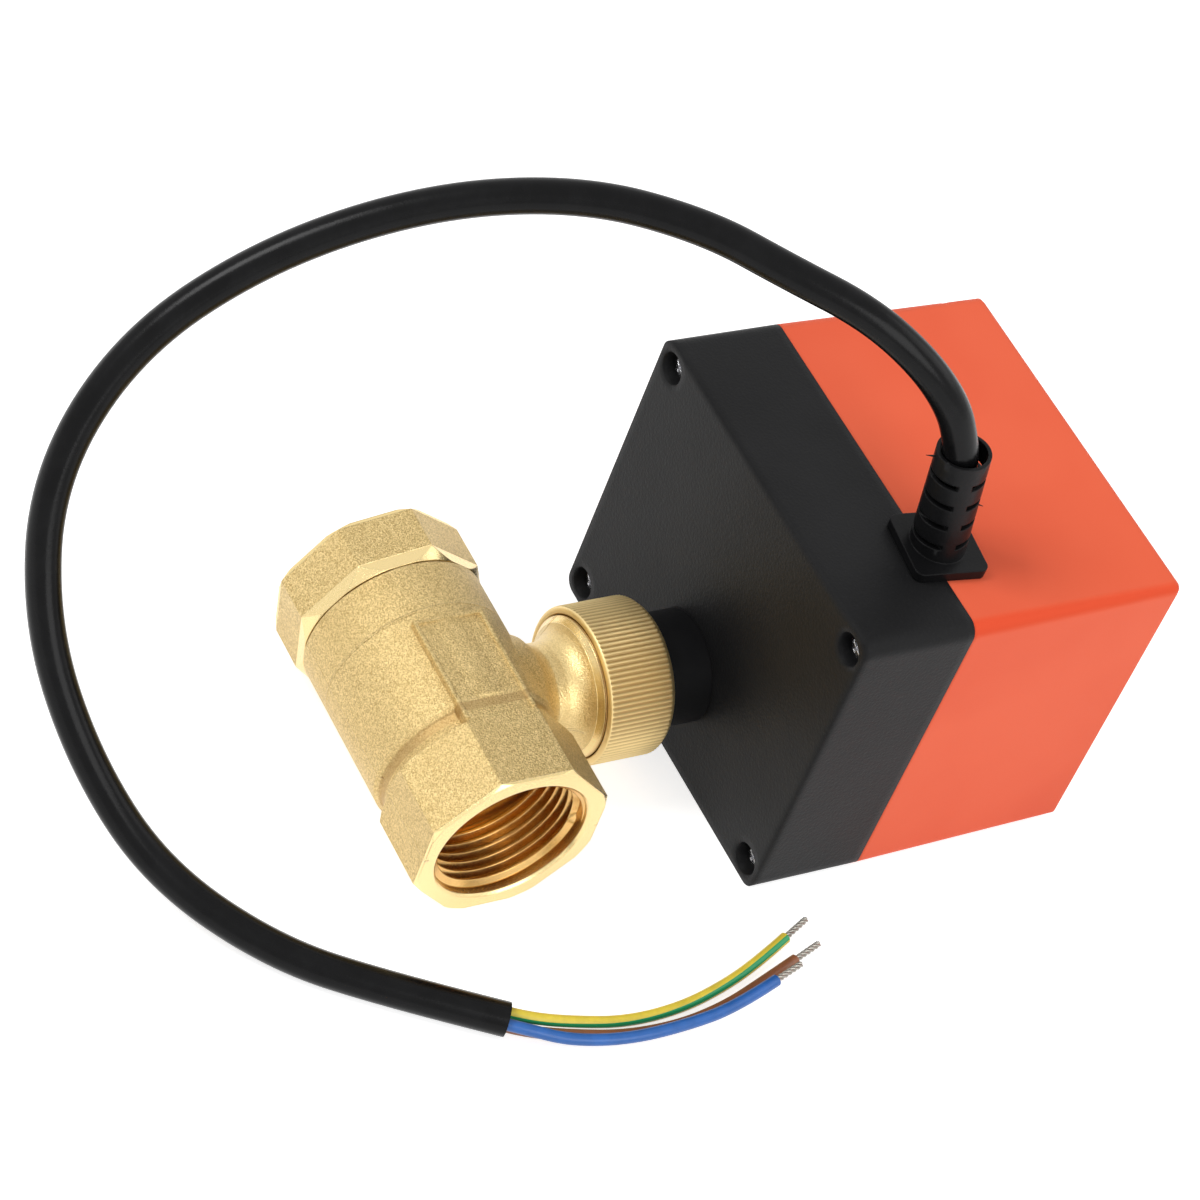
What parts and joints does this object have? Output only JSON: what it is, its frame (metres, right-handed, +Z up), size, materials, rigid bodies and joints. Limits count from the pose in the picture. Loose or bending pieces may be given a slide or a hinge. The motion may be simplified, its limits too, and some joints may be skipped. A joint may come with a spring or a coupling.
{
  "type": "motorized ball valve",
  "caption": "Brass two-piece ball valve with female threaded ports, union-nut coupled to a cube-shaped geared electric actuator with a power cable.",
  "frame": {"origin": "centre of the ball, where the pipe axis and the stem axis cross", "axes": "+X out of the near port along the pipe, +Y along the stem from the ball to the actuator, +Z up through the actuator wall that carries the cable gland"},
  "size_m": [0.1018, 0.1772, 0.109],
  "materials": {
    "brass": "shot-blasted with machined faces",
    "stem_brass": "turned",
    "pinion_brass": "turned",
    "ball_chrome": "polished plating",
    "ptfe": "waxy",
    "seal_rubber": "matte",
    "sleeve_plastic": "satin",
    "steel": "zinc plated",
    "base_plastic": "fine moulded texture",
    "cover_plastic": "satin",
    "gear_plastic": "moulded",
    "switch_plastic": "moulded",
    "plunger_plastic": "moulded",
    "board_laminate": "solder mask",
    "relay_plastic": "moulded",
    "capacitor_plastic": "moulded",
    "terminal_plastic": "moulded",
    "gland_rubber": "matte",
    "cable_jacket": "satin PVC",
    "core_yellow_green": "satin PVC",
    "core_blue": "satin PVC",
    "core_brown": "satin PVC",
    "tinned_copper": "tinned strands"
  },
  "bodies": {
    "actuator_body": {"base_housing": "base_plastic", "cover": "cover_plastic", "housing_screws": "steel", "coupling_sleeve": "sleeve_plastic", "sleeve_lock_nut": "steel", "lower_gear_plate": "steel", "upper_gear_plate": "steel", "plate_pillars": "steel", "board_standoffs": "steel", "board_screws": "steel", "gear_axles": "steel", "shaft_bush": "pinion_brass", "motor": "steel", "motor_screws": "steel", "open_limit_switch": "switch_plastic", "closed_limit_switch": "switch_plastic", "switch_screws": "steel", "circuit_board": "board_laminate", "relay": "relay_plastic", "capacitor": "capacitor_plastic", "terminal_block": "terminal_plastic", "cable_gland": "gland_rubber", "power_cable": "cable_jacket", "yellow_green_core": "core_yellow_green", "blue_core": "core_blue", "brown_core": "core_brown", "bare_strands": "tinned_copper"},
    "valve": {"valve_body": "brass", "end_connector": "brass", "near_seat_ring": "ptfe", "far_seat_ring": "ptfe", "stem_seal_rings": "seal_rubber", "stem_thrust_washer": "ptfe"},
    "ball_and_stem": {"ball": "ball_chrome", "stem": "stem_brass"},
    "nut": {"union_nut": "brass"},
    "output": {"output_shaft": "steel", "output_gear": "steel", "cam_disc": "gear_plastic", "shaft_circlip": "steel"},
    "second_gear": {"second_compound_gear": "gear_plastic"},
    "first_gear": {"first_compound_gear": "gear_plastic"},
    "pinion": {"motor_pinion": "pinion_brass"},
    "open_plunger": {"open_switch_plunger": "plunger_plastic"},
    "closed_plunger": {"closed_switch_plunger": "plunger_plastic"}
  },
  "joints": [
    {"name": "output_turn", "type": "hinge", "parent": "actuator_body", "child": "output", "pos_m": [0, 0, 0], "axis": [0, 1, 0], "range_deg": [0, 90]},
    {"name": "ball_turn", "type": "hinge", "parent": "valve", "child": "ball_and_stem", "pos_m": [0, 0, 0], "axis": [0, 1, 0], "range_deg": [0, 90]},
    {"name": "second_gear_turn", "type": "hinge", "parent": "actuator_body", "child": "second_gear", "pos_m": [0, 0, 0.0176], "axis": [0, 1, 0], "range_deg": [-240, 0]},
    {"name": "first_gear_turn", "type": "hinge", "parent": "actuator_body", "child": "first_gear", "pos_m": [-0.0081, 0, 0.02725], "axis": [0, 1, 0], "range_deg": [0, 600]},
    {"name": "pinion_turn", "type": "hinge", "parent": "actuator_body", "child": "pinion", "pos_m": [0.00372, 0, 0.02517], "axis": [0, 1, 0], "range_deg": [-1800, 0]},
    {"name": "open_plunger_press", "type": "slide", "parent": "actuator_body", "child": "open_plunger", "axis": [1, 0, 0], "range_m": [0, 0.0006], "stiffness_N_per_m": 200},
    {"name": "closed_plunger_press", "type": "slide", "parent": "actuator_body", "child": "closed_plunger", "axis": [-1, 0, 0], "range_m": [0, 0.0006], "stiffness_N_per_m": 200},
    {"name": "nut_turn", "type": "hinge", "parent": "actuator_body", "child": "nut", "pos_m": [0, 0, 0], "axis": [0, 1, 0], "range_deg": [0, 1800]},
    {"name": "valve_draw", "type": "slide", "parent": "actuator_body", "child": "valve", "axis": [0, -1, 0], "range_m": [0, 0.0075]}
  ],
  "couplings": [
    {"joint": "ball_turn", "follows": "output_turn", "ratio": 1},
    {"joint": "second_gear_turn", "follows": "output_turn", "ratio": -2.6667},
    {"joint": "first_gear_turn", "follows": "output_turn", "ratio": 6.6667},
    {"joint": "pinion_turn", "follows": "output_turn", "ratio": -20},
    {"joint": "nut_turn", "follows": "valve_draw", "rad_per_m": 4188.8}
  ]
}
